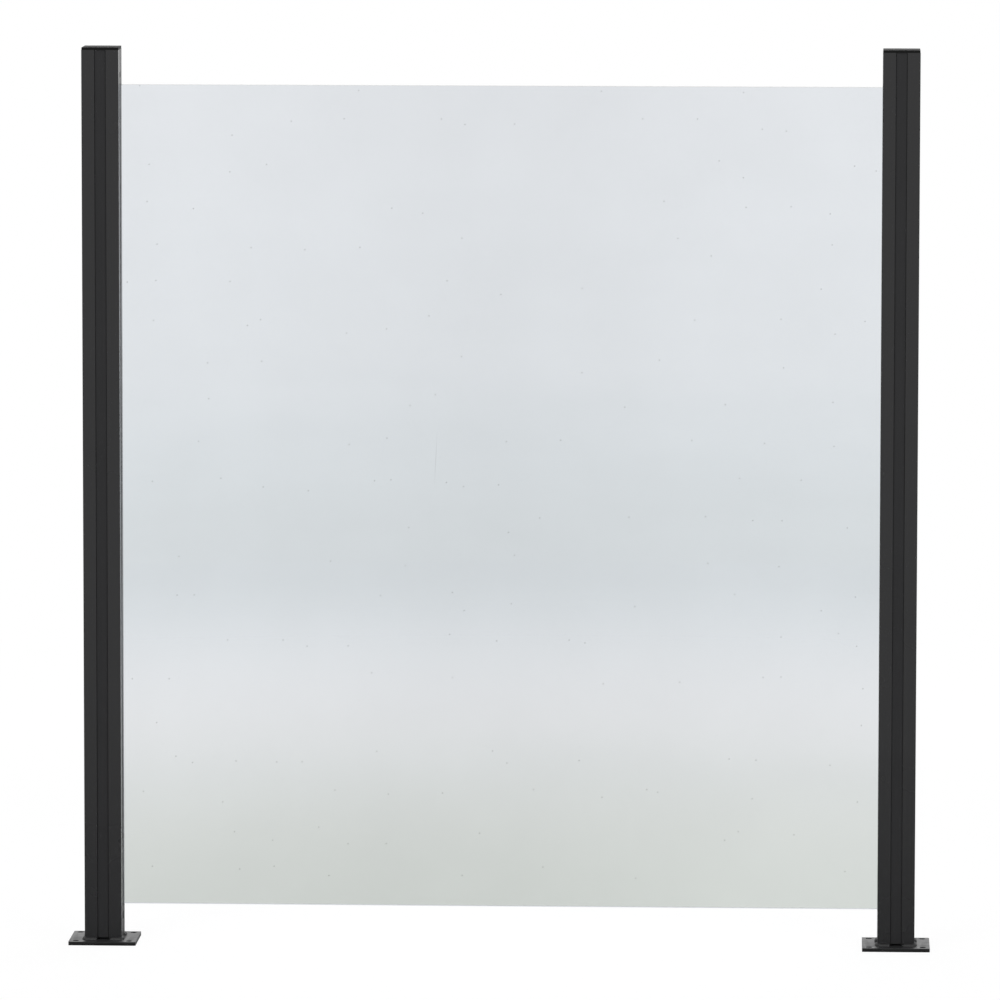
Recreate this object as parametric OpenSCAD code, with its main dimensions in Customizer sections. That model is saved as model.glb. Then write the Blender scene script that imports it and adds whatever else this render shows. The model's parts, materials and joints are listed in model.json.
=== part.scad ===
// One bay of a glass fence: a pane of glass held between two grooved square posts,
// each welded to a base plate. The origin is the centre of the left plate's underside,
// X runs along the fence, Y runs through it and Z is up.

/* [Bay] */
// Height from the ground to the top of the caps
total_h = 1092; // [1080:1:1400]
// Distance between the centres of the two posts
post_spacing = 965; // [500:1:1500]

/* [Post] */
// Side of the square post
post_w = 45; // [44:0.5:48]
// Wall thickness of the extrusion
post_wall = 1.8; // [1.2:0.1:2]
// Radius of the post's outer corners
post_corner_r = 0.8; // [0.4:0.1:2]
// Width of the groove down each side
groove_w = 13.4; // [13:0.1:14]
// Depth of the groove
groove_depth = 14; // [13.6:0.1:14.4]

/* [Glass] */
// Height of the pane
glass_h = 1000; // [500:1:1000]
// Thickness of the pane
glass_t = 6; // [5:0.5:8]
// Height of the pane's lower edge above the ground
glass_lift = 46; // [36:1:55]
// Depth of glass inside each groove
glass_engaged = 12.5; // [10:0.5:13]
// Width of the bevel along the pane's edges
glass_arris = 0.8; // [0.3:0.1:1.5]
// Size of the pane's dubbed corners
glass_corner = 2; // [1:0.5:5]

/* [Base plate] */
// Side of the square base plate
plate_w = 82; // [82:1:140]
// Thickness of the base plate
plate_t = 4.5; // [3:0.5:10]
// Radius of the plate's corners
plate_corner_r = 1.5; // [0.5:0.5:6]
// Distance from the plate's edges to the centres of its holes
hole_margin = 8.5; // [7:0.5:9]
// Diameter of the fixing holes
hole_d = 7.5; // [5:0.5:7.5]
// Leg of the fillet weld at the post's foot
weld_leg = 3.5; // [2:0.5:4]

/* [Cap] */
// Thickness of the cap's top
cap_t = 3.5; // [2:0.5:5]
// How far the cap stands back from the post's faces
cap_inset = 0.3; // [0:0.1:1]
// Length of the pegs that go into the post
cap_peg_h = 10; // [5:1:20]

/* [Strips] */
// Depth of the cover strips below the post's face
cover_recess = 1.6; // [0.5:0.1:2.5]
// Thickness of the cover strips
cover_t = 1.6; // [1:0.1:2.5]
// Length of the cover strips' legs
cover_leg = 6; // [4:0.5:8]
// Height of the drain slots at the foot of the post, where the cover strips end
drain_h = 2.5; // [1:0.5:6]
// Depth of the filler strip above the pane below the post's inner face
filler_recess = 0.2; // [0:0.1:2.5]
// How far the gaskets stand out of the groove
gasket_proud = 0.2; // [0:0.1:1]
// How far the gaskets run past the pane's edges
gasket_overrun = 1.5; // [0:0.5:2.5]

/* [Hidden] */
$fn = 48;

// The post stands on the plate and its faces are half its side from its centre.
face = post_w / 2;
post_foot = plate_t;
post_top = total_h - cap_t;

// Four corner tubes surround a square core, parted by the grooves.
groove_floor = face - groove_depth;
corner_start = groove_w / 2 + post_wall;
corner_tube = face - post_wall - corner_start;
corner_middle = corner_start + corner_tube / 2;
core_void = 2 * (groove_floor - post_wall);
void_corner_r = 0.5;
groove_lip = 0.4;

// The pane reaches into the inner groove of each post.
glass_w = post_spacing - post_w + 2 * glass_engaged;
glass_top = glass_lift + glass_h;
glass_edge = face - glass_engaged;

// The plate and its holes are broken at the top edge, and weld beads stop beside the grooves.
plate_edge = 0.4;
hole_edge = 0.4;
hole_offset = plate_w / 2 - hole_margin;
weld_stop = 2.5;
weld_run = face - post_corner_r - groove_w / 2 - weld_stop;

// Between the weld beads the post's foot is slotted on each side, so the grooves drain.
drain_w = groove_w + 2 * weld_stop - 0.4;
drain_depth = 2.6;

cap_bevel = 0.6;
cap_peg_w = corner_tube - 0.4;

// Cover strips are a flat plate on two legs, whose barbs grip the groove's walls.
cover_w = groove_w - 0.6;
cover_leg_t = 1.2;
cover_barb_h = 2;
cover_barb_lead = 0.8;

// Blocks fill the inner groove above and below the pane.
block_w = groove_w - 0.4;
block_depth = groove_depth - 0.5;
stop_foot = glass_top + gasket_overrun;
stop_head = stop_foot + 7;
filler_foot = stop_head + 6;
pad_h = 3;
rest_head = glass_lift - pad_h;
waist_head = rest_head - 7;
waist_h = 10;
waist_depth = 3;

// Gaskets wedge the pane on both sides and slope down to the groove's lips.
gasket_t = (groove_w - glass_t) / 2;
gasket_depth = 8;
gasket_slope = 0.6;

coat = [0.21, 0.21, 0.22];
cap_plastic = [0.15, 0.15, 0.15];
nylon = [0.12, 0.12, 0.12];
rubber = [0.06, 0.06, 0.06];
glass_tint = [0.84, 0.87, 0.89, 0.6];

// Pieces are drawn for the left post, whose inner groove opens along +X.
module on_right() translate([post_spacing, 0, 0]) mirror([1, 0, 0]) children();

// A plan shape carried straight up from one height to another.
module run(from, to) translate([0, 0, from]) linear_extrude(to - from) children();

module rounded_square(w, r) {
    square([w - 2 * r, w], center = true);
    square([w, w - 2 * r], center = true);
    for (x = [-1, 1], y = [-1, 1])
        translate([x, y] * (w / 2 - r)) circle(r);
}

module bevelled_rectangle(w, h, bevel) {
    x = w / 2;
    y = h / 2;
    polygon([
        [-x, bevel - y], [bevel - x, -y], [x - bevel, -y], [x, bevel - y],
        [x, y - bevel], [x - bevel, y], [bevel - x, y], [-x, y - bevel],
    ]);
}

// A square slab whose upper edges are bevelled, as its three outlines cross.
module slab(w, t, r, bevel) intersection() {
    linear_extrude(t) rounded_square(w, r);
    rotate([90, 0, 0]) linear_extrude(w + 2, center = true) bevelled_rectangle(w, 2 * t, bevel);
    rotate([90, 0, 90]) linear_extrude(w + 2, center = true) bevelled_rectangle(w, 2 * t, bevel);
}

// The groove along +X flares a little at its mouth.
module groove_section() {
    wall = groove_w / 2;
    mouth = wall + groove_lip;
    polygon([
        [groove_floor, -wall], [face - groove_lip, -wall], [face, -mouth], [face + 1, -mouth],
        [face + 1, mouth], [face, mouth], [face - groove_lip, wall], [groove_floor, wall],
    ]);
}

module post_section() difference() {
    rounded_square(post_w, post_corner_r);
    rounded_square(core_void, void_corner_r);
    for (turn = [0:90:270]) rotate(turn) {
        groove_section();
        translate([corner_middle, corner_middle]) rounded_square(corner_tube, void_corner_r);
    }
}

module drain() translate([face - drain_depth, -drain_w / 2, post_foot - 1])
    cube([drain_depth + 1, drain_w, drain_h + 1]);

module post() color(coat) difference() {
    run(post_foot, post_top) post_section();
    for (turn = [0:90:270]) rotate(turn) drain();
}

module fixing_hole() {
    translate([0, 0, -1]) cylinder(d = hole_d, h = plate_t + 2);
    translate([0, 0, plate_t - hole_edge])
        cylinder(d1 = hole_d, d2 = hole_d + 4 * hole_edge, h = 2 * hole_edge);
}

module base_plate() color(coat) difference() {
    slab(plate_w, plate_t, plate_corner_r, plate_edge);
    for (x = [-1, 1], y = [-1, 1])
        translate([x, y, 0] * hole_offset) fixing_hole();
}

module weld_section() polygon([[0, 0], [weld_leg, 0], [0, weld_leg]]);

// One bead wraps a corner of the post and stops short of the grooves on both sides.
module weld_bead() {
    corner = face - post_corner_r;
    translate([face, corner, 0]) rotate([90, 0, 0]) linear_extrude(weld_run) weld_section();
    translate([corner - weld_run, face, 0])
        rotate([90, 0, 90]) linear_extrude(weld_run) weld_section();
    translate([corner, corner, 0]) rotate_extrude(angle = 90)
        translate([post_corner_r, 0]) weld_section();
}

module weld() color(coat) for (turn = [0:90:270])
    translate([0, 0, post_foot]) rotate(turn) weld_bead();

module cap() color(cap_plastic) {
    translate([0, 0, post_top]) slab(post_w - 2 * cap_inset, cap_t, post_corner_r, cap_bevel);
    for (x = [-1, 1], y = [-1, 1]) translate([x, y, 0] * corner_middle)
        run(post_top - cap_peg_h, post_top) square(cap_peg_w, center = true);
}

module cover_section(recess) {
    edge = cover_w / 2;
    wall = groove_w / 2;
    front = face - recess;
    tip = front - cover_t - cover_leg;
    half = [
        [front, edge], [tip + cover_barb_h, edge], [tip + cover_barb_h, wall],
        [tip + cover_barb_lead, wall], [tip, edge], [tip, edge - cover_leg_t],
        [front - cover_t, edge - cover_leg_t],
    ];
    polygon(concat(half, [for (i = [len(half) - 1:-1:0]) [half[i].x, -half[i].y]]));
}

// A strip in the groove that the turn, in degrees from +X, points to.
module strip(turn, foot, recess)
    color(coat) rotate(turn) run(foot, post_top) cover_section(recess);

module cover(turn) strip(turn, post_foot + drain_h, cover_recess);

module front_cover() cover(-90);

module back_cover() cover(90);

module outer_cover() cover(180);

module top_filler() strip(0, filler_foot, filler_recess);

module groove_block(from, to) run(from, to)
    translate([face - block_depth, -block_w / 2]) square([block_depth, block_w]);

module stop_block() color(nylon) groove_block(stop_foot, stop_head);

// The block under the pane is moulded with a waist across its face.
module glass_rest() color(nylon) difference() {
    groove_block(post_foot, rest_head);
    translate([face - waist_depth, -post_w / 2, waist_head - waist_h])
        cube([waist_depth + 1, post_w, waist_h]);
}

module rest_pad() color(rubber) run(rest_head, glass_lift)
    translate([glass_edge, -glass_t / 2]) square([glass_engaged - 1, glass_t]);

module gasket_section() translate([face, glass_t / 2]) polygon([
    [-gasket_depth, 0], [gasket_proud, 0], [gasket_proud, gasket_t - gasket_slope],
    [0, gasket_t], [-gasket_depth, gasket_t],
]);

module gasket(side) color(rubber)
    run(glass_lift - gasket_overrun, glass_top + gasket_overrun)
    mirror([0, side]) gasket_section();

module front_gasket() gasket(1);

module back_gasket() gasket(0);

module left_post() post();
module left_base_plate() base_plate();
module left_weld() weld();
module left_cap() cap();
module left_front_cover() front_cover();
module left_back_cover() back_cover();
module left_outer_cover() outer_cover();
module left_top_filler() top_filler();
module left_stop_block() stop_block();
module left_glass_rest() glass_rest();
module left_rest_pad() rest_pad();
module left_front_gasket() front_gasket();
module left_back_gasket() back_gasket();

module right_post() on_right() post();
module right_base_plate() on_right() base_plate();
module right_weld() on_right() weld();
module right_cap() on_right() cap();
module right_front_cover() on_right() front_cover();
module right_back_cover() on_right() back_cover();
module right_outer_cover() on_right() outer_cover();
module right_top_filler() on_right() top_filler();
module right_stop_block() on_right() stop_block();
module right_glass_rest() on_right() glass_rest();
module right_rest_pad() on_right() rest_pad();
module right_front_gasket() on_right() front_gasket();
module right_back_gasket() on_right() back_gasket();

// The pane's edges are bevelled all round and its corners dubbed.
module glass_pane() color(glass_tint)
    translate([post_spacing / 2, 0, glass_lift + glass_h / 2]) intersection() {
        rotate([90, 0, 0]) linear_extrude(glass_t, center = true)
            bevelled_rectangle(glass_w, glass_h, glass_corner);
        rotate([90, 0, 90]) linear_extrude(glass_w, center = true)
            bevelled_rectangle(glass_t, glass_h, glass_arris);
        linear_extrude(glass_h, center = true)
            bevelled_rectangle(glass_w, glass_t, glass_arris);
    }

left_post();
left_base_plate();
left_weld();
left_cap();
left_front_cover();
left_back_cover();
left_outer_cover();
left_top_filler();
left_stop_block();
left_glass_rest();
left_rest_pad();
left_front_gasket();
left_back_gasket();
right_post();
right_base_plate();
right_weld();
right_cap();
right_front_cover();
right_back_cover();
right_outer_cover();
right_top_filler();
right_stop_block();
right_glass_rest();
right_rest_pad();
right_front_gasket();
right_back_gasket();
glass_pane();
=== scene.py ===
import json
import math
import random

import bmesh
import bpy
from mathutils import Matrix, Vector


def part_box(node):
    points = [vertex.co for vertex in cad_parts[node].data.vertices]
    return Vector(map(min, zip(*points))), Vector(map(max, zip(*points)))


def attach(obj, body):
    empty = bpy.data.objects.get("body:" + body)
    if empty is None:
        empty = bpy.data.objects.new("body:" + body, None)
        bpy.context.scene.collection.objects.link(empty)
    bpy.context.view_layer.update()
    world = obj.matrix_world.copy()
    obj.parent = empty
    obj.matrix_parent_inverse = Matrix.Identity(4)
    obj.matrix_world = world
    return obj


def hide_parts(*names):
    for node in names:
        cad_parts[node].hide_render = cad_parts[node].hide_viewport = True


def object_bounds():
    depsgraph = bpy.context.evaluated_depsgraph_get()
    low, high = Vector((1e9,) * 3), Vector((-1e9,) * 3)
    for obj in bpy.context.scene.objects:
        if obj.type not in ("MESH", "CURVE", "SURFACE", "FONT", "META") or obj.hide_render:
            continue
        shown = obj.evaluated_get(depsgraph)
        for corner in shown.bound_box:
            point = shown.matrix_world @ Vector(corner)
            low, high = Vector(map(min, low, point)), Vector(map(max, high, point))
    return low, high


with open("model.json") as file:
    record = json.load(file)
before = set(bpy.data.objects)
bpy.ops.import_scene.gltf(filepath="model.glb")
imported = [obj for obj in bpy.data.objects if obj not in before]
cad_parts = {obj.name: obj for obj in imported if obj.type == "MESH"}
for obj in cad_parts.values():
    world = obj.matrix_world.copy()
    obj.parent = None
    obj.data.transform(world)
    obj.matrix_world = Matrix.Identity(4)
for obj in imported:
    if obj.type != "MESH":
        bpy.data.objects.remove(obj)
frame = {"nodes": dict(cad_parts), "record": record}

bl_info = {
    "name": "Glass Fence Bay",
    "version": (1, 0, 0),
    "blender": (4, 5, 0),
    "location": "3D View > Sidebar > Fence",
    "description": "Coats, welds, caps and glazes one bay of a glass fence in a pale studio",
    "category": "Object",
}

MM = 0.001
BODY = "root"
SIDES = ("left", "right")
CAD_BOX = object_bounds()
BAY_MIDDLE = (CAD_BOX[0] + CAD_BOX[1]) / 2
BOLTS = next(m for m in frame["record"]["mounts"] if m["name"] == "left_bolts")["dims"]


# Settings that a user would change

def linear(hex_colour):
    """The linear red, green, blue and alpha of an sRGB hex colour such as "#2B2B2D"."""
    shades = [int(hex_colour[i:i + 2], 16) / 255 for i in (1, 3, 5)]
    return [s / 12.92 if s <= 0.04045 else ((s + 0.055) / 1.055) ** 2.4 for s in shades] + [1.0]


def colour(name, description, hex_colour):
    """A colour setting with its default written in hex."""
    return bpy.props.FloatVectorProperty(
        name=name, description=description, default=linear(hex_colour),
        subtype="COLOR", size=4, min=0.0, max=1.0,
    )


def length(name, description, millimetres):
    """A length setting with its default written in millimetres."""
    return bpy.props.FloatProperty(
        name=name, description=description, default=millimetres * MM,
        min=0.0, precision=5, unit="LENGTH", subtype="DISTANCE",
    )


def number(name, description, default):
    """A plain setting that can't go below nothing."""
    return bpy.props.FloatProperty(name=name, description=description, default=default, min=0.0)


class FenceSizes(bpy.types.PropertyGroup):
    """Sizes of the modelled pieces and of the grain in their finishes."""

    plate_edge: length("Plate edge", "Rounding of the edges of a base plate and its holes", 0.25)
    plate_corner: length("Plate corner", "Radius of a base plate's corners", 1.5)
    hole: length("Fixing hole", "Diameter of a fixing hole", 2 * BOLTS["hole_r_mm"])
    hole_spacing: length("Hole spacing", "Distance between fixing holes", BOLTS["spacing_x_mm"])
    post_corner: length("Post corner", "Radius of the corners that the weld beads wrap", 0.8)
    ripple: length("Weld ripple", "Distance between the ripples of a weld bead", 1.3)
    weld_stop: length("Weld stop", "Bare length between a weld bead and the post's groove", 2.5)
    cap_edge: length("Cap edge", "Rounding of the cap's top edge", 0.5)
    cap_crown: length("Cap crown", "How far the middle of a cap stands above its rim", 0.4)
    cap_peg: length("Cap peg", "Width of the pegs under a cap", 11.8)
    peg_inset: length("Peg inset", "Distance from the post's face to a peg, past its wall", 2.0)
    orange_peel: length("Orange peel", "Width of a wave in the coat of posts and strips", 2.4)
    plate_peel: length("Plate peel", "Width of a wave in the thicker coat of base plates", 11)
    die_line: length("Die line", "Distance between the die's lines along an extrusion", 1.9)
    cap_grain: length("Cap grain", "Width of a grain in the plastic of the caps", 1.1)
    block_grain: length("Block grain", "Width of a grain in the nylon of the blocks", 0.9)
    quench_cloud: length("Quench cloud", "Width of the clouds that quenching left", 130)
    dust: length("Dust", "Radius of a speck of dust on the glass", 0.8)
    scratch: length("Scratch", "Width of the hairline scratch on the glass", 0.6)


class FenceColours(bpy.types.PropertyGroup):
    """Colours of the pieces."""

    coat: colour("Coat", "Powder coat of the posts and welds", "#212122")
    plate: colour("Plates", "Powder coat of the base plates", "#2C2C2D")
    strip: colour("Strips", "Powder coat of the cover strips", "#2F2F30")
    cap: colour("Caps", "Plastic of the caps", "#090909")
    nylon: colour("Blocks", "Nylon of the blocks above and below the pane", "#181819")
    rubber: colour("Gaskets", "Rubber of the gaskets and pads", "#141415")
    glass: colour("Glass", "What the pane lets through", "#E2E5E9")


class FenceStudio(bpy.types.PropertyGroup):
    """The studio that the bay stands in."""

    floor_radius: length("Floor", "Radius of the floor", 4000)
    ambient: number("Ambient light", "Brightness of the room on dull surfaces", 0.6)
    key: number("Key light", "Power of the large lamp in front on the left, in watts", 62)
    fill: number("Fill light", "Power of the large lamp in front on the right, in watts", 40)
    top: number("Top light", "Power of the lamp above and behind, in watts", 40)
    lens: number("Lens", "Focal length on a 36 mm sensor, in millimetres", 288)


# Materials

def add_node(tree, kind, inputs=(), **settings):
    """Adds a shader node, sets its options and fills its inputs.

    An input that is another node's output is linked, and the rest are values.
    """
    node = tree.nodes.new("ShaderNode" + kind)
    for name, value in settings.items():
        setattr(node, name, value)
    for name, value in dict(inputs).items():
        if isinstance(value, bpy.types.NodeSocket):
            tree.links.new(value, node.inputs[name])
        else:
            node.inputs[name].default_value = value
    return node


def new_material(name):
    """An empty material and its node tree."""
    material = bpy.data.materials.new(name)
    material.use_nodes = True
    material.node_tree.nodes.clear()
    return material, material.node_tree


def shades_of(base, spread):
    """Two colours, darker and lighter than the base by the same share."""
    return [[c * share for c in base[:3]] + [1.0] for share in (1 - spread, 1 + spread)]


# Width of the slow clouds in a coat, and how far its shade and its roughness stray in them
COAT_CLOUD = 90 * MM
COAT_SPREAD = 0.22
COAT_GLOSS_SPREAD = 0.07
# Depth of the die's lines, and the scale along Z that draws them out
DIE_LINE_RELIEF = 0.012 * MM
DIE_LINE_DRAW = 0.004
# Share of its colour that a coat keeps on a plate's sides and in its holes, a painted shade, and
# the height that it fades over
PAINTED_SIDE_SHADE = 0.12
PAINTED_SIDE_SHADE_FADE = 0.15 * MM


def powder_coat(name, base, peel, relief, roughness, shine=0.32, die_line=None, shaded_below=None):
    """Polyester powder coat on aluminium, sprayed on dry and baked: one even satin skin.

    Where the powder flowed it left waves, the orange peel, that break up reflections. The coat is
    a little thicker in some places than in others, which gives slow clouds in its shade and gloss.
    On an extrusion the lines of the die run along Z and still show through. On a plate the sides
    and the walls of the holes, below the height given, are painted nearly black: a painted
    shade.
    """
    material, tree = new_material(name)
    place = add_node(tree, "TexCoord").outputs["Object"]
    clouds = add_node(tree, "TexNoise", {"Vector": place, "Scale": 1 / COAT_CLOUD, "Detail": 4.0})
    waves = add_node(tree, "TexNoise", {"Vector": place, "Scale": 1 / peel, "Detail": 2.0})
    peel_bump = add_node(tree, "Bump", {"Height": waves.outputs["Fac"], "Distance": relief})
    surface, shade = peel_bump.outputs["Normal"], clouds.outputs["Fac"]
    if die_line:
        drawn_out = add_node(tree, "Mapping", {
            "Vector": place, "Scale": (1.0, 1.0, DIE_LINE_DRAW),
        })
        lines = add_node(tree, "TexNoise", {
            "Vector": drawn_out.outputs["Vector"], "Scale": 1 / die_line, "Detail": 3.0,
        })
        line_bump = add_node(tree, "Bump", {
            "Height": lines.outputs["Fac"], "Distance": DIE_LINE_RELIEF, "Normal": surface,
        })
        both = add_node(tree, "Math", {0: shade, 1: lines.outputs["Fac"]}, operation="ADD")
        half = add_node(tree, "Math", {0: both.outputs[0], 1: 0.5}, operation="MULTIPLY")
        surface, shade = line_bump.outputs["Normal"], half.outputs[0]
    dark, light = shades_of(base, COAT_SPREAD)
    tone = add_node(tree, "MixRGB", {"Fac": shade, "Color1": dark, "Color2": light})
    if shaded_below:
        # Painted shade: below the given height, on a plate's sides and in its holes, the colour
        # keeps only a small share.
        height = add_node(tree, "SeparateXYZ", {"Vector": place}).outputs["Z"]
        cover = add_node(tree, "MapRange", {
            "Value": height, "From Min": shaded_below - PAINTED_SIDE_SHADE_FADE, "From Max": shaded_below,
            "To Min": PAINTED_SIDE_SHADE, "To Max": 1.0,
        })
        tone = add_node(tree, "MixRGB", {
            "Fac": 1.0, "Color1": tone.outputs["Color"], "Color2": cover.outputs["Result"],
        }, blend_type="MULTIPLY")
    gloss = add_node(tree, "MapRange", {
        "Value": clouds.outputs["Fac"],
        "To Min": roughness + COAT_GLOSS_SPREAD, "To Max": roughness - COAT_GLOSS_SPREAD,
    })
    coat = add_node(tree, "BsdfPrincipled", {
        "Base Color": tone.outputs["Color"], "Roughness": gloss.outputs["Result"],
        "Specular IOR Level": shine, "Normal": surface,
    })
    add_node(tree, "OutputMaterial", {"Surface": coat.outputs["BSDF"]})
    return material


# Width of the clouds in a moulding, and how far its shade and its roughness stray in them
PLASTIC_CLOUD = 14 * MM
PLASTIC_SPREAD = 0.18
PLASTIC_GLOSS_SPREAD = 0.08


def moulded_plastic(name, base, grain, relief, roughness, shine):
    """Black polyamide or ABS, injection moulded in a spark-eroded tool, which prints an even grain.

    The real grain is about 0.2 mm wide. It is drawn coarser, so that it shows.
    """
    material, tree = new_material(name)
    place = add_node(tree, "TexCoord").outputs["Object"]
    grains = add_node(tree, "TexVoronoi", {
        "Vector": place, "Scale": 1 / grain,
    }, feature="SMOOTH_F1")
    bump = add_node(tree, "Bump", {"Height": grains.outputs["Distance"], "Distance": relief})
    clouds = add_node(tree, "TexNoise", {
        "Vector": place, "Scale": 1 / PLASTIC_CLOUD, "Detail": 3.0,
    })
    dark, light = shades_of(base, PLASTIC_SPREAD)
    tone = add_node(tree, "MixRGB", {
        "Fac": clouds.outputs["Fac"], "Color1": dark, "Color2": light,
    })
    gloss = add_node(tree, "MapRange", {
        "Value": clouds.outputs["Fac"],
        "To Min": roughness - PLASTIC_GLOSS_SPREAD, "To Max": roughness + PLASTIC_GLOSS_SPREAD,
    })
    plastic = add_node(tree, "BsdfPrincipled", {
        "Base Color": tone.outputs["Color"], "Roughness": gloss.outputs["Result"],
        "Specular IOR Level": shine, "Normal": bump.outputs["Normal"],
    })
    add_node(tree, "OutputMaterial", {"Surface": plastic.outputs["BSDF"]})
    return material


# Distance between the drag lines, their depth, and the scale along Z that draws them out
DRAG_LINE = 0.7 * MM
DRAG_LINE_RELIEF = 0.03 * MM
DRAG_LINE_DRAW = 0.01
# Width of a patch of bloom, how far the shade strays there, and the roughness from least to most
BLOOM = 25 * MM
RUBBER_SPREAD = 0.35
RUBBER_ROUGHNESS = (0.36, 0.52)


def extruded_rubber(name, base):
    """EPDM rubber, extruded and cured: matt black, with drag lines along it and a grey bloom."""
    material, tree = new_material(name)
    place = add_node(tree, "TexCoord").outputs["Object"]
    drawn_out = add_node(tree, "Mapping", {"Vector": place, "Scale": (1.0, 1.0, DRAG_LINE_DRAW)})
    drag = add_node(tree, "TexNoise", {
        "Vector": drawn_out.outputs["Vector"], "Scale": 1 / DRAG_LINE, "Detail": 2.0,
    })
    bump = add_node(tree, "Bump", {"Height": drag.outputs["Fac"], "Distance": DRAG_LINE_RELIEF})
    bloom = add_node(tree, "TexNoise", {"Vector": place, "Scale": 1 / BLOOM, "Detail": 4.0})
    dark, light = shades_of(base, RUBBER_SPREAD)
    tone = add_node(tree, "MixRGB", {
        "Fac": bloom.outputs["Fac"], "Color1": dark, "Color2": light,
    })
    gloss = add_node(tree, "MapRange", {
        "Value": bloom.outputs["Fac"],
        "To Min": RUBBER_ROUGHNESS[0], "To Max": RUBBER_ROUGHNESS[1],
    })
    rubber = add_node(tree, "BsdfPrincipled", {
        "Base Color": tone.outputs["Color"], "Roughness": gloss.outputs["Result"],
        "Specular IOR Level": 0.4, "Normal": bump.outputs["Normal"],
    })
    add_node(tree, "OutputMaterial", {"Surface": rubber.outputs["BSDF"]})
    return material


# How far the glass's shade strays in its clouds
GLASS_SPREAD = 0.035
# One speck of dust at most lies in each field of the width DUST_GAP, and a speck whose random
# shade is above DUST_KEPT is left out
DUST_GAP = 48 * MM
DUST_KEPT = 0.45
# The scratch's middle, its length, its lean from upright, and how strong its middle is drawn
SCRATCH_MIDDLE = (404.5 * MM, 0.0, 593 * MM)
SCRATCH_LENGTH = 70 * MM
SCRATCH_LEAN = math.radians(3)
SCRATCH_STRENGTH = 0.6
# Share of the light that dust and scratch take
MARK_SHADE = 0.5


def marks(tree, place, dust, scratch):
    """Where dust and the scratch lie on the pane's front, from 0 for none to 1."""
    scratched = add_node(tree, "Mapping", {
        "Vector": place, "Location": SCRATCH_MIDDLE, "Rotation": (0.0, SCRATCH_LEAN, 0.0),
    }, vector_type="TEXTURE")
    parts = add_node(tree, "SeparateXYZ", {"Vector": scratched.outputs["Vector"]}).outputs
    across = add_node(tree, "Math", {0: parts["X"], 1: 0.0, 2: scratch / 2}, operation="COMPARE")
    along = add_node(tree, "Math", {0: parts["Z"]}, operation="ABSOLUTE")
    faded = add_node(tree, "MapRange", {
        "Value": along.outputs[0], "From Max": SCRATCH_LENGTH / 2,
        "To Min": SCRATCH_STRENGTH, "To Max": 0.0,
    })
    line = add_node(tree, "Math", {
        0: across.outputs[0], 1: faded.outputs["Result"],
    }, operation="MULTIPLY")

    # The pane stands in X and Z, so the specks are spread over a pattern turned up onto it.
    flat = add_node(tree, "Mapping", {"Vector": place, "Rotation": (math.pi / 2, 0.0, 0.0)})
    spots = add_node(tree, "TexVoronoi", {
        "Vector": flat.outputs["Vector"], "Scale": 1 / DUST_GAP,
    }, voronoi_dimensions="2D")
    near = add_node(tree, "Math", {
        0: spots.outputs["Distance"], 1: dust / DUST_GAP,
    }, operation="LESS_THAN")
    kept = add_node(tree, "Math", {
        0: spots.outputs["Color"], 1: DUST_KEPT,
    }, operation="LESS_THAN")
    either = add_node(tree, "Math", {
        0: near.outputs[0], 1: kept.outputs[0], 2: line.outputs[0],
    }, operation="MULTIPLY_ADD")

    # The front is where Y is below nothing.
    front = add_node(tree, "Math", {0: parts["Y"], 1: 0.0}, operation="LESS_THAN")
    return add_node(tree, "Math", {
        0: either.outputs[0], 1: front.outputs[0],
    }, operation="MULTIPLY", use_clamp=True).outputs[0]


def toughened_glass(name, tint, cloud, dust, scratch):
    """Float glass, cut to size, ground along its edges, heated and quenched: clear, flat, glossy.

    It takes a little of the light, less of the blue. Quenching leaves faint clouds in what it lets
    through. A few specks of dust cling to the front, and one hairline scratch there fades out at
    its ends. A real hairline is too fine to show, so it's drawn wider. Lamps shine through, so the
    pane throws a faint shadow.
    """
    material, tree = new_material(name)
    place = add_node(tree, "TexCoord").outputs["Object"]
    clouds = add_node(tree, "TexNoise", {"Vector": place, "Scale": 1 / cloud, "Detail": 3.0})
    dark, light = shades_of(tint, GLASS_SPREAD)
    tone = add_node(tree, "MixRGB", {
        "Fac": clouds.outputs["Fac"], "Color1": dark, "Color2": light,
    })
    dusty = add_node(tree, "MixRGB", {
        "Fac": marks(tree, place, dust, scratch),
        "Color1": tone.outputs["Color"], "Color2": shades_of(tint, MARK_SHADE)[0],
    })
    pane = add_node(tree, "BsdfPrincipled", {
        "Base Color": dusty.outputs["Color"], "Roughness": 0.0, "IOR": 1.52,
        "Transmission Weight": 1.0,
    })
    lamp_light = add_node(tree, "BsdfTransparent", {"Color": tint})
    ray = add_node(tree, "LightPath").outputs
    glass = add_node(tree, "MixShader", {
        0: ray["Is Shadow Ray"], 1: pane.outputs["BSDF"], 2: lamp_light.outputs["BSDF"],
    })
    add_node(tree, "OutputMaterial", {"Surface": glass.outputs["Shader"]})
    return material


# Modelling

# Edges that turn by less than this are shaded smooth
SMOOTH_TURN = math.radians(35)
# A direction runs along an axis if its share along it is more than this
ALONG_AXIS = 0.99
# Corners that are closer than this are at the same place or height
TOUCH = 0.1 * MM


def select_only(*pieces):
    """Selects just these pieces and makes the first one active."""
    bpy.ops.object.select_all(action="DESELECT")
    for piece in pieces:
        piece.select_set(True)
    bpy.context.view_layer.objects.active = pieces[0]


def pick(piece, kind, test):
    """In edit mode, selects just the FACE, EDGE or VERT parts that pass the test."""
    bpy.ops.mesh.select_mode(type=kind)
    bpy.ops.mesh.select_all(action="DESELECT")
    shape = bmesh.from_edit_mesh(piece.data)
    for part in {"FACE": shape.faces, "EDGE": shape.edges, "VERT": shape.verts}[kind]:
        if test(part):
            part.select_set(True)
    shape.select_flush_mode()
    bmesh.update_edit_mesh(piece.data)


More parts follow.
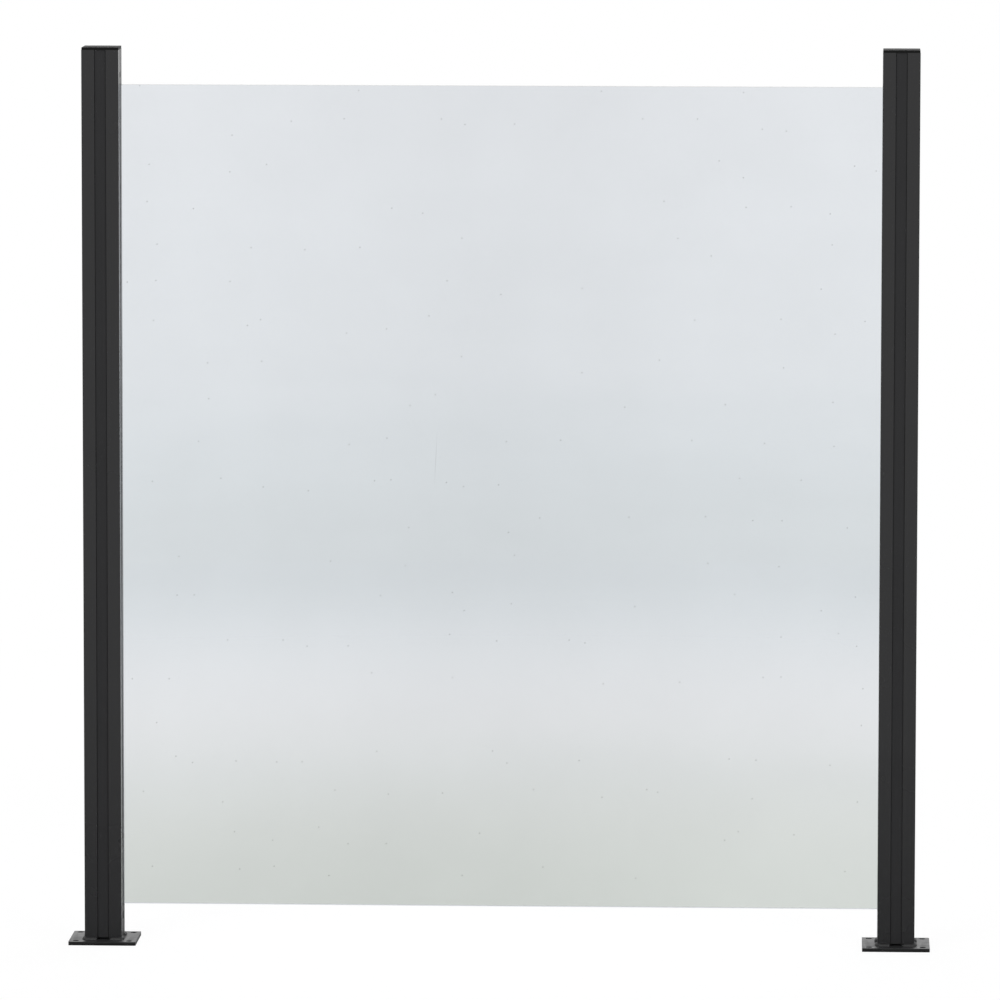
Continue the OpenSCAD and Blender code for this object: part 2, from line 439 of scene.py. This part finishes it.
def apply_modifier(piece, kind, **settings):
    """Adds a modifier with these settings and applies it."""
    select_only(piece)
    bpy.ops.object.modifier_add(type=kind)
    modifier = piece.modifiers[-1]
    for name, value in settings.items():
        setattr(modifier, name, value)
    bpy.ops.object.modifier_apply(modifier=modifier.name)


def block(low, high):
    """A plain block between two corners, with its place in its mesh."""
    bpy.ops.mesh.primitive_cube_add(size=1, location=(low + high) / 2, scale=high - low)
    piece = bpy.context.object
    select_only(piece)
    bpy.ops.object.transform_apply(location=True, rotation=True, scale=True)
    return piece


def is_upright(edge):
    """True for an edge that runs along Z."""
    along = edge.verts[0].co - edge.verts[1].co
    return abs(along.z) > ALONG_AXIS * along.length


def round_upright_edges(piece, radius, segments):
    """Rounds the corners that a block has in plan."""
    select_only(piece)
    bpy.ops.object.mode_set(mode="EDIT")
    pick(piece, "EDGE", is_upright)
    bpy.ops.mesh.bevel(offset=radius, segments=segments, affect="EDGES")
    bpy.ops.object.mode_set(mode="OBJECT")


def cut_away(piece, cutter):
    """Takes the cutter's shape out of the piece and throws the cutter away."""
    apply_modifier(piece, "BOOLEAN", object=cutter, operation="DIFFERENCE", solver="EXACT")
    bpy.data.objects.remove(cutter)


def heading(angle):
    """The direction in plan at this angle from X."""
    return Vector((math.cos(angle), math.sin(angle)))


def turned(point, angle):
    """A point in plan, turned about the origin, where the left post stands."""
    cos, sin = math.cos(angle), math.sin(angle)
    return Vector((point.x * cos - point.y * sin, point.x * sin + point.y * cos))


def dress(piece, node, material):
    """Names a finished piece, gives it its finish and lets it stand for its CAD node."""
    select_only(piece)
    bpy.ops.object.shade_smooth_by_angle(angle=SMOOTH_TURN)
    piece.name = piece.data.name = node + "_finished"
    piece.data.materials.clear()
    piece.data.materials.append(material)
    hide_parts(node)
    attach(piece, BODY)


def dress_both(piece, part, material):
    """Dresses a piece modelled on the left post, and a copy of it on the right post."""
    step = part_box("right_" + part)[0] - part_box("left_" + part)[0]
    select_only(piece)
    bpy.ops.object.duplicate(linked=False)
    copy = bpy.context.object
    bpy.ops.transform.translate(value=step)
    bpy.ops.object.transform_apply(location=True, rotation=True, scale=True)
    dress(piece, "left_" + part, material)
    dress(copy, "right_" + part, material)


def on_both_posts(*parts):
    """The names of these parts' nodes, on the left post and on the right."""
    return [side + "_" + part for side in SIDES for part in parts]


def finish_nodes(names, material):
    """Gives these CAD nodes their material."""
    for name in names:
        for place in frame["nodes"][name].material_slots:
            place.material = material


# Pieces

class FENCE_OT_posts(bpy.types.Operator):
    """Coats the extruded posts"""

    bl_idname = "fence.posts"
    bl_label = "Coat the Posts"

    def execute(self, context):
        sizes, colours = context.scene.fence_sizes, context.scene.fence_colours
        finish_nodes(on_both_posts("post"), powder_coat(
            "powder_coated_aluminium", colours.coat, sizes.orange_peel,
            relief=0.06 * MM, roughness=0.26, die_line=sizes.die_line,
        ))
        return {"FINISHED"}


class FENCE_OT_strips(bpy.types.Operator):
    """Coats the cover strips that close the grooves"""

    bl_idname = "fence.strips"
    bl_label = "Coat the Cover Strips"

    def execute(self, context):
        sizes, colours = context.scene.fence_sizes, context.scene.fence_colours
        strips = on_both_posts("front_cover", "back_cover", "outer_cover", "top_filler")
        finish_nodes(strips, powder_coat(
            "powder_coated_strip", colours.strip, sizes.orange_peel,
            relief=0.045 * MM, roughness=0.38, shine=0.07, die_line=sizes.die_line,
        ))
        return {"FINISHED"}


# Edges of a plate that turn by more than this are rounded
PLATE_EDGE_TURN = math.radians(40)


class FENCE_OT_base_plates(bpy.types.Operator):
    """Models the base plates, drilled, with their edges softened by the coat"""

    bl_idname = "fence.base_plates"
    bl_label = "Model the Base Plates"

    def execute(self, context):
        sizes, colours = context.scene.fence_sizes, context.scene.fence_colours
        low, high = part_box("left_base_plate")
        plate = block(low, high)
        round_upright_edges(plate, sizes.plate_corner, segments=5)

        # The drill is longer than the plate is thick, so it goes right through.
        drill = 4 * (high.z - low.z)
        middle, reach = (low + high) / 2, sizes.hole_spacing / 2
        for x in (-reach, reach):
            for y in (-reach, reach):
                bpy.ops.mesh.primitive_cylinder_add(
                    vertices=40, radius=sizes.hole / 2, depth=drill,
                    location=middle + Vector((x, y, 0)),
                )
                cut_away(plate, bpy.context.object)
        apply_modifier(
            plate, "BEVEL", width=sizes.plate_edge, segments=3,
            limit_method="ANGLE", angle_limit=PLATE_EDGE_TURN,
        )
        # The plate's sides and the walls of its holes get a painted shade, up to the rounding of
        # the top edge.
        dress_both(plate, "base_plate", powder_coat(
            "powder_coated_plate", colours.plate, sizes.plate_peel,
            relief=0.7 * MM, roughness=0.34, shaded_below=high.z - sizes.plate_edge,
        ))
        return {"FINISHED"}


# Half a ripple's length along the seam, over the distance between ripples, so that they overlap
RIPPLE_OVERLAP = 1.5
# Lean of a ripple into the seam, how far chance turns it either way, and the least that chance
# shrinks it to
RIPPLE_LEAN = math.radians(-16)
RIPPLE_TURN = 0.1
RIPPLE_LEAST = 0.94
# Grain of the mesh that the ripples melt into, and how far a bead is sunk into what it joins
BEAD_MESH = 0.3 * MM
BEAD_SINK = 0.05 * MM


class FENCE_OT_welds(bpy.types.Operator):
    """Models the rippled weld beads that wrap each corner of a post's foot"""

    bl_idname = "fence.welds"
    bl_label = "Model the Weld Beads"

    def execute(self, context):
        sizes, colours = context.scene.fence_sizes, context.scene.fence_colours
        foot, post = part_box("left_weld"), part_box("left_post")
        face, plate_top = post[1].x, foot[0].z
        leg = foot[1].x - face
        sunk = leg / 3
        reach = math.hypot(leg + sunk, sunk)

        # A bead's seam runs along one face, round the corner and along the next face.
        corner = face - sizes.post_corner
        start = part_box("left_front_cover")[1].x + sizes.weld_stop - sunk
        run = corner - start
        bend = math.pi / 2 * sizes.post_corner
        whole = 2 * run + bend
        chance = random.Random(5)

        def seam_at(along):
            """The seam's place this far along it, and the angle that it faces."""
            if along < run:
                return Vector((face, start + along)), 0.0
            if along > run + bend:
                return Vector((start + whole - along, face)), math.pi / 2
            turn = (along - run) / sizes.post_corner
            return Vector((corner, corner)) + sizes.post_corner * heading(turn), turn

        bpy.ops.mesh.primitive_uv_sphere_add(
            segments=24, ring_count=14, radius=reach,
            scale=(1, RIPPLE_OVERLAP * sizes.ripple / reach, 1),
        )
        ripple = bpy.context.object
        select_only(ripple)
        bpy.ops.object.transform_apply(location=False, rotation=False, scale=True)

        # Each ripple is a copy of the first, set on the seam and turned to face away from the post.
        ripples = []
        count = round(whole / sizes.ripple)
        for quarter in range(4):
            for i in range(count + 1):
                seam, turn = seam_at(min(max(i * whole / count, sunk), whole - sunk))
                seam = turned(seam, quarter * math.pi / 2)
                turn += quarter * math.pi / 2
                select_only(ripple)
                bpy.ops.object.duplicate(linked=False)
                copy = bpy.context.object
                copy.location = (*(seam - sunk * heading(turn)), plate_top - sunk)
                turn += chance.uniform(-RIPPLE_TURN, RIPPLE_TURN)
                copy.rotation_euler = (RIPPLE_LEAN, 0, turn)
                copy.scale = (chance.uniform(RIPPLE_LEAST, 1.0),) * 3
                ripples.append(copy)
        select_only(*ripples)
        bpy.ops.object.join()
        bead = bpy.context.object
        bpy.data.objects.remove(ripple)
        bpy.ops.object.transform_apply(location=True, rotation=True, scale=True)
        apply_modifier(
            bead, "REMESH", mode="VOXEL", voxel_size=BEAD_MESH, use_smooth_shade=True,
        )

        # What sinks into the plate and the post is cut off just below their surfaces.
        bpy.ops.object.mode_set(mode="EDIT")
        bpy.ops.mesh.select_all(action="SELECT")
        bpy.ops.mesh.bisect(
            plane_co=(0, 0, plate_top - BEAD_SINK), plane_no=(0, 0, 1),
            use_fill=True, clear_inner=True,
        )
        bpy.ops.object.mode_set(mode="OBJECT")
        skin = Vector((BEAD_SINK, BEAD_SINK, 0))
        over_bead = 4 * plate_top
        envelope = block(
            Vector((post[0].x, post[0].y, 0)) + skin,
            Vector((post[1].x, post[1].y, over_bead)) - skin,
        )
        round_upright_edges(envelope, sizes.post_corner, segments=6)
        cut_away(bead, envelope)
        dress_both(bead, "weld", powder_coat(
            "powder_coated_weld", colours.coat, sizes.orange_peel,
            relief=0.03 * MM, roughness=0.45,
        ))
        return {"FINISHED"}


# Cuts across a cap's top, an odd number so that they cross in the middle, and how far towards the
# rim the crown spreads
CROWN_CUTS = 9
CROWN_SPREAD = 0.98
# Edges of the cap that turn by more than this are rounded
CAP_EDGE_TURN = math.radians(60)
# Width of a peg's foot over its top, and the rounding of its edges
PEG_TAPER = 0.92
PEG_EDGE = 0.3 * MM


class FENCE_OT_caps(bpy.types.Operator):
    """Models the crowned caps and the pegs that hold them in the posts"""

    bl_idname = "fence.caps"
    bl_label = "Model the Caps"

    def execute(self, context):
        sizes, colours = context.scene.fence_sizes, context.scene.fence_colours
        low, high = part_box("left_cap")
        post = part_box("left_post")[1]
        middle = (low + high) / 2
        rim = high.z - sizes.cap_crown
        lid = block(Vector((low.x, low.y, post.z)), Vector((high.x, high.y, rim)))

        # The top is cut into a grid and pulled up in the middle. Then its rim and corners are
        # rounded.
        bpy.ops.object.mode_set(mode="EDIT")
        bpy.ops.mesh.select_all(action="SELECT")
        bpy.ops.mesh.subdivide(number_cuts=CROWN_CUTS)
        top = Vector((middle.x, middle.y, rim))
        pick(lid, "VERT", lambda corner: (corner.co - top).length < TOUCH)
        bpy.ops.transform.translate(
            value=(0, 0, sizes.cap_crown), use_proportional_edit=True,
            proportional_edit_falloff="SPHERE",
            proportional_size=CROWN_SPREAD * (high.x - middle.x),
        )
        pick(lid, "EDGE", lambda edge: edge.calc_face_angle() > CAP_EDGE_TURN and (
            is_upright(edge) or min(corner.co.z for corner in edge.verts) > rim - TOUCH
        ))
        bpy.ops.mesh.bevel(offset=sizes.cap_edge, segments=4, affect="EDGES")
        bpy.ops.object.mode_set(mode="OBJECT")

        # A peg fills the end of each corner tube, and its top is sunk into the lid.
        reach = post.x - middle.x - sizes.peg_inset - sizes.cap_peg / 2
        half = Vector((sizes.cap_peg, sizes.cap_peg, 0)) / 2
        height = Vector((0, 0, post.z - low.z + sizes.cap_edge))
        pegs = []
        for x in (-reach, reach):
            for y in (-reach, reach):
                foot = Vector((middle.x + x, middle.y + y, low.z))
                peg = block(foot - half, foot + half + height)
                bpy.ops.object.mode_set(mode="EDIT")
                pick(peg, "FACE", lambda face: face.normal.z < -ALONG_AXIS)
                bpy.ops.transform.resize(
                    value=(PEG_TAPER, PEG_TAPER, 1), center_override=foot,
                )
                bpy.ops.object.mode_set(mode="OBJECT")
                apply_modifier(peg, "BEVEL", width=PEG_EDGE, segments=2)
                pegs.append(peg)
        select_only(lid, *pegs)
        bpy.ops.object.join()
        dress_both(lid, "cap", moulded_plastic(
            "moulded_cap_plastic", colours.cap, sizes.cap_grain,
            relief=0.09 * MM, roughness=0.54, shine=0.11,
        ))
        return {"FINISHED"}


class FENCE_OT_blocks(bpy.types.Operator):
    """Finishes the moulded blocks above and below the pane"""

    bl_idname = "fence.blocks"
    bl_label = "Finish the Glazing Blocks"

    def execute(self, context):
        sizes, colours = context.scene.fence_sizes, context.scene.fence_colours
        finish_nodes(on_both_posts("stop_block", "glass_rest"), moulded_plastic(
            "moulded_nylon", colours.nylon, sizes.block_grain,
            relief=0.03 * MM, roughness=0.5, shine=0.4,
        ))
        return {"FINISHED"}


class FENCE_OT_gaskets(bpy.types.Operator):
    """Finishes the gaskets that wedge the pane and the pads that it stands on"""

    bl_idname = "fence.gaskets"
    bl_label = "Finish the Gaskets"

    def execute(self, context):
        rubber = extruded_rubber("epdm_rubber", context.scene.fence_colours.rubber)
        finish_nodes(on_both_posts("front_gasket", "back_gasket", "rest_pad"), rubber)
        return {"FINISHED"}


class FENCE_OT_pane(bpy.types.Operator):
    """Finishes the pane"""

    bl_idname = "fence.pane"
    bl_label = "Finish the Pane"

    def execute(self, context):
        sizes, colours = context.scene.fence_sizes, context.scene.fence_colours
        finish_nodes(["glass_pane"], toughened_glass(
            "toughened_glass", colours.glass, sizes.quench_cloud, sizes.dust, sizes.scratch,
        ))
        return {"FINISHED"}


# Studio

WHITE = (1.0, 1.0, 1.0, 1.0)

# The floor is part grey paint and part glow, so that it looks white and still keeps a shadow.
# FLOOR_GLOW is the glow's share by the fence, and further off it grows to the whole. For each
# share of paint the glow is brighter than white by FLOOR_LACK, which is what the paint lacks.
FLOOR_PAINT = linear("#BCBCBC")
FLOOR_GLOW = 0.82
FLOOR_LACK = 0.64
# Shares of the floor's radius between which the glow grows, to the eye and in reflections
EYE_FADE = (0.3, 0.75)
MIRROR_FADE = (0.1, 0.85)

# What the glass shows of the floor, from the middle of the bay to the floor's rim, and of the
# room, from the floor's rim up. Their darker stops are painted shade of the studio.
FLOOR_TINTS_AND_SHADES = (
    (0.0, "#E6E8DF"), (0.14, "#E9EBE3"), (0.255, "#EFF0E9"), (0.375, "#F6F7F3"),
    (0.5, "#FDFCFA"), (0.63, "#FCFCFB"), (0.77, "#F6F8F8"), (0.885, "#EFF2F2"),
    (0.94, "#EDF0F0"),
)
ROOM_TINTS_AND_SHADES = (
    (0.0, "#EDF0F0"), (0.1, "#EEF1F0"), (0.26, "#F4F7F7"), (0.43, "#FAFBFB"),
    (0.7, "#FDFEFE"), (1.0, "#FFFFFF"),
)
# Z of the directions at which the room's tints begin and end
ROOM_HEIGHTS = (-0.1196, -0.0551)
# Both keep this share of their light in the middle, along a line that runs back and leans to the
# left by this much for each metre
MIDDLE_SHADE = 0.95
SHADE_LEAN = 0.0415
# The floor close by is paler on the right, a painted light: by how much, over which metres
# sideways that grows, and over which shares of the floor's radius it ends
PAINTED_LIGHT_SIDE = 0.085
PALE_GROWS = (-0.17, 0.28)
PALE_ENDS = (0.12, 0.37)

# Width of the camera's sensor in millimetres, its place from the bay's middle, and its turn
SENSOR_WIDTH = 36
CAMERA_PLACE = (0.3993, -9.629, 1.6)
CAMERA_TURN = (math.pi / 2 - 0.10916, -0.00147, 0.04162)


def misty(tree, place, value, sideways, patch, stray, fade, reach):
    """The value strayed by soft patches, and a shade that is darkest in the middle of the bay.

    Patch is the size of a patch, stray and fade are how far it shifts the value and the shade, and
    reach is how far to the sides the shade ends. They give what shows through the glass the uneven
    look of a wall and floor out of focus, with a painted shade.
    """
    spread = add_node(tree, "Mapping", {"Vector": place, "Scale": [1 / side for side in patch]})
    patches = add_node(tree, "TexNoise", {
        "Vector": spread.outputs["Vector"], "Scale": 1.0, "Detail": 4.0,
    })
    centred = add_node(tree, "Math", {
        0: patches.outputs["Fac"], 1: 0.5,
    }, operation="SUBTRACT").outputs[0]
    strayed = add_node(tree, "Math", {
        0: centred, 1: stray, 2: value,
    }, operation="MULTIPLY_ADD").outputs[0]
    aside = add_node(tree, "Math", {0: sideways}, operation="ABSOLUTE").outputs[0]
    middle = add_node(tree, "MapRange", {
        "Value": aside, "From Max": reach, "To Min": MIDDLE_SHADE, "To Max": 1.0,
    }, interpolation_type="SMOOTHSTEP").outputs["Result"]
    shade = add_node(tree, "Math", {
        0: centred, 1: fade, 2: middle,
    }, operation="MULTIPLY_ADD").outputs[0]
    return strayed, shade


def tinted(tree, value, tints, shade):
    """The tint at the value, darkened to the shade. Tints are pairs of a value and a hex colour."""
    ramp = add_node(tree, "ValToRGB", {"Fac": value})
    points = ramp.color_ramp.elements
    while len(points) < len(tints):
        points.new(1.0)
    for point, (place, hex_colour) in zip(points, tints):
        point.position, point.color = place, linear(hex_colour)
    ramp.color_ramp.interpolation = "B_SPLINE"
    return add_node(tree, "MixRGB", {
        "Fac": 1.0, "Color1": ramp.outputs["Color"], "Color2": shade,
    }, blend_type="MULTIPLY").outputs["Color"]


def studio_floor(radius):
    """Pale painted floor: it keeps a soft shadow by the fence and fades into the white room.

    Reflections show it as dull as it is close by, and white further off. Through the glass its
    faint tints show, greener close by and darker at the rim, where the darkening is painted
    shade.
    """
    material, tree = new_material("pale_studio_floor")
    place = add_node(tree, "TexCoord").outputs["Object"]
    centred = add_node(tree, "Mapping", {
        "Vector": place, "Location": (-BAY_MIDDLE.x, -BAY_MIDDLE.y, 0.0),
    }).outputs["Vector"]
    away = add_node(tree, "VectorMath", {0: centred}, operation="LENGTH").outputs["Value"]
    share = add_node(tree, "Math", {0: away, 1: radius}, operation="DIVIDE").outputs[0]

    # A ray through the glass counts as glossy too, so it's taken out of the reflections.
    ray = add_node(tree, "LightPath").outputs
    looked_at = add_node(tree, "Math", {
        0: ray["Is Camera Ray"], 1: ray["Is Transmission Ray"],
    }, operation="MAXIMUM").outputs[0]
    mirrored = add_node(tree, "Math", {
        0: ray["Is Glossy Ray"], 1: looked_at,
    }, operation="SUBTRACT", use_clamp=True).outputs[0]
    glow = 0.0
    for seen, (nearest, farthest), least in (
        (looked_at, EYE_FADE, FLOOR_GLOW), (mirrored, MIRROR_FADE, 0.0),
    ):
        fade = add_node(tree, "MapRange", {
            "Value": share, "From Min": nearest, "From Max": farthest,
            "To Min": least, "To Max": 1.0,
        }, interpolation_type="SMOOTHSTEP").outputs["Result"]
        glow = add_node(tree, "Math", {
            0: fade, 1: seen, 2: glow,
        }, operation="MULTIPLY_ADD").outputs[0]

    # The tints, their patches and their painted shades
    parts = add_node(tree, "SeparateXYZ", {"Vector": centred}).outputs
    sideways = add_node(tree, "Math", {
        0: parts["Y"], 1: SHADE_LEAN, 2: parts["X"],
    }, operation="MULTIPLY_ADD").outputs[0]
    strayed, shade = misty(
        tree, place, share, sideways, patch=(0.9, 0.9, 0.9), stray=0.05, fade=0.006, reach=0.5,
    )
    # Painted light: close by, the floor seen through the glass is paler on the right.
    close_by = add_node(tree, "MapRange", {
        "Value": share, "From Min": PALE_ENDS[0], "From Max": PALE_ENDS[1],
        "To Min": 1.0, "To Max": 0.0,
    }).outputs["Result"]
    on_the_right = add_node(tree, "MapRange", {
        "Value": sideways, "From Min": PALE_GROWS[0], "From Max": PALE_GROWS[1],
        "To Max": PAINTED_LIGHT_SIDE,
    }).outputs["Result"]
    shade = add_node(tree, "Math", {
        0: close_by, 1: on_the_right, 2: shade,
    }, operation="MULTIPLY_ADD").outputs[0]
    shown = add_node(tree, "MixRGB", {
        "Fac": ray["Is Transmission Ray"], "Color1": WHITE,
        "Color2": tinted(tree, strayed, FLOOR_TINTS_AND_SHADES, shade),
    }).outputs["Color"]

    paint = add_node(tree, "MixRGB", {
        "Fac": 1.0, "Color1": shown, "Color2": FLOOR_PAINT,
    }, blend_type="MULTIPLY")
    lit = add_node(tree, "BsdfDiffuse", {"Color": paint.outputs["Color"]})
    strength = add_node(tree, "Math", {
        0: glow, 1: -FLOOR_LACK, 2: 1 + FLOOR_LACK,
    }, operation="MULTIPLY_ADD")
    light = add_node(tree, "Emission", {"Color": shown, "Strength": strength.outputs[0]})
    floor = add_node(tree, "MixShader", {
        0: glow, 1: lit.outputs["BSDF"], 2: light.outputs["Emission"],
    })
    add_node(tree, "OutputMaterial", {"Surface": floor.outputs["Shader"]})
    material.cycles.emission_sampling = "NONE"
    return material


def studio_room(ambient):
    """The white room around the floor: white to look at, dimmer as light on the pieces."""
    world = bpy.data.worlds.new("white_room")
    world.use_nodes = True
    tree = world.node_tree
    tree.nodes.clear()
    direction = add_node(tree, "TexCoord").outputs["Generated"]
    parts = add_node(tree, "SeparateXYZ", {"Vector": direction}).outputs
    height = add_node(tree, "MapRange", {
        "Value": parts["Z"], "From Min": ROOM_HEIGHTS[0], "From Max": ROOM_HEIGHTS[1],
    }).outputs["Result"]
    sideways = add_node(tree, "Math", {
        0: parts["X"], 1: SHADE_LEAN,
    }, operation="ADD").outputs[0]
    strayed, shade = misty(
        tree, direction, height, sideways,
        patch=(0.03, 0.03, 0.006), stray=0.12, fade=0.03, reach=0.045,
    )

    # Looked at or mirrored it is white, through the glass it is tinted with painted shade, and its
    # light is dimmer.
    ray = add_node(tree, "LightPath").outputs
    looked_at = add_node(tree, "Math", {
        0: ray["Is Camera Ray"], 1: ray["Is Glossy Ray"],
    }, operation="MAXIMUM")
    seen = add_node(tree, "Math", {
        0: looked_at.outputs[0], 1: ray["Is Transmission Ray"],
    }, operation="MAXIMUM")
    view = add_node(tree, "MixRGB", {
        "Fac": ray["Is Transmission Ray"], "Color1": WHITE,
        "Color2": tinted(tree, strayed, ROOM_TINTS_AND_SHADES, shade),
    })
    light = add_node(tree, "MixRGB", {
        "Fac": seen.outputs[0], "Color1": (ambient, ambient, ambient, 1.0),
        "Color2": view.outputs["Color"],
    })
    background = add_node(tree, "Background", {"Color": light.outputs["Color"]})
    add_node(tree, "OutputWorld", {"Surface": background.outputs["Background"]})
    return world


def soft_lamp(name, power, size, place):
    """A large square lamp that faces the middle of the bay and isn't seen itself."""
    where = BAY_MIDDLE + Vector(place)
    bpy.ops.object.light_add(type="AREA", location=where)
    lamp = bpy.context.object
    lamp.name = name
    lamp.rotation_euler = (BAY_MIDDLE - where).to_track_quat("-Z", "Y").to_euler()
    lamp.data.energy, lamp.data.size = power, size
    lamp.visible_camera = False


class FENCE_OT_studio(bpy.types.Operator):
    """Sets up the floor, the room, the lamps and the camera"""

    bl_idname = "fence.studio"
    bl_label = "Set Up the Studio"

    def execute(self, context):
        studio = context.scene.fence_studio
        bpy.ops.object.select_all(action="DESELECT")
        bpy.ops.mesh.primitive_circle_add(
            vertices=128, radius=studio.floor_radius, fill_type="NGON",
            location=(BAY_MIDDLE.x, BAY_MIDDLE.y, 0),
        )
        floor = context.object
        floor.name = "studio_floor"
        bpy.ops.object.transform_apply(location=True, rotation=False, scale=False)
        floor.data.materials.append(studio_floor(studio.floor_radius))

        context.scene.world = studio_room(studio.ambient)
        soft_lamp("key_lamp", studio.key, size=2.4, place=(-2.0, -3.6, 2.6))
        soft_lamp("fill_lamp", studio.fill, size=2.4, place=(2.4, -3.4, 1.6))
        soft_lamp("top_lamp", studio.top, size=2.0, place=(0.2, 1.8, 3.4))

        right, back, up = CAMERA_PLACE
        bpy.ops.object.camera_add(
            location=(BAY_MIDDLE.x + right, BAY_MIDDLE.y + back, up), rotation=CAMERA_TURN,
        )
        camera = context.object
        camera.name = "camera"
        camera.data.lens, camera.data.sensor_width = studio.lens, SENSOR_WIDTH
        camera.data.clip_start, camera.data.clip_end = 0.1, 100
        context.scene.camera = camera
        context.scene.view_settings.view_transform = "Standard"
        return {"FINISHED"}


STEPS = (
    FENCE_OT_posts, FENCE_OT_strips, FENCE_OT_base_plates, FENCE_OT_welds, FENCE_OT_caps,
    FENCE_OT_blocks, FENCE_OT_gaskets, FENCE_OT_pane, FENCE_OT_studio,
)


class FENCE_PT_panel(bpy.types.Panel):
    """Lists the bay's settings and steps in the sidebar"""

    bl_idname = "FENCE_PT_panel"
    bl_label = "Glass Fence Bay"
    bl_space_type = "VIEW_3D"
    bl_region_type = "UI"
    bl_category = "Fence"

    def draw(self, context):
        scene = context.scene
        for settings in (scene.fence_sizes, scene.fence_colours, scene.fence_studio):
            box = self.layout.box()
            for name in settings.__annotations__:
                box.prop(settings, name)
        for step in STEPS:
            self.layout.operator(step.bl_idname)


CLASSES = (FenceSizes, FenceColours, FenceStudio, *STEPS, FENCE_PT_panel)


def register():
    """Adds the settings, the steps and the panel."""
    for kind in CLASSES:
        bpy.utils.register_class(kind)
    bpy.types.Scene.fence_sizes = bpy.props.PointerProperty(type=FenceSizes)
    bpy.types.Scene.fence_colours = bpy.props.PointerProperty(type=FenceColours)
    bpy.types.Scene.fence_studio = bpy.props.PointerProperty(type=FenceStudio)


def unregister():
    """Takes out what register adds."""
    del bpy.types.Scene.fence_sizes, bpy.types.Scene.fence_colours, bpy.types.Scene.fence_studio
    for kind in reversed(CLASSES):
        bpy.utils.unregister_class(kind)


def main():
    """Makes the bay step by step."""
    register()
    bpy.ops.fence.posts()
    bpy.ops.fence.strips()
    bpy.ops.fence.base_plates()
    bpy.ops.fence.welds()
    bpy.ops.fence.caps()
    bpy.ops.fence.blocks()
    bpy.ops.fence.gaskets()
    bpy.ops.fence.pane()
    bpy.ops.fence.studio()


if __name__ == "__main__":
    main()
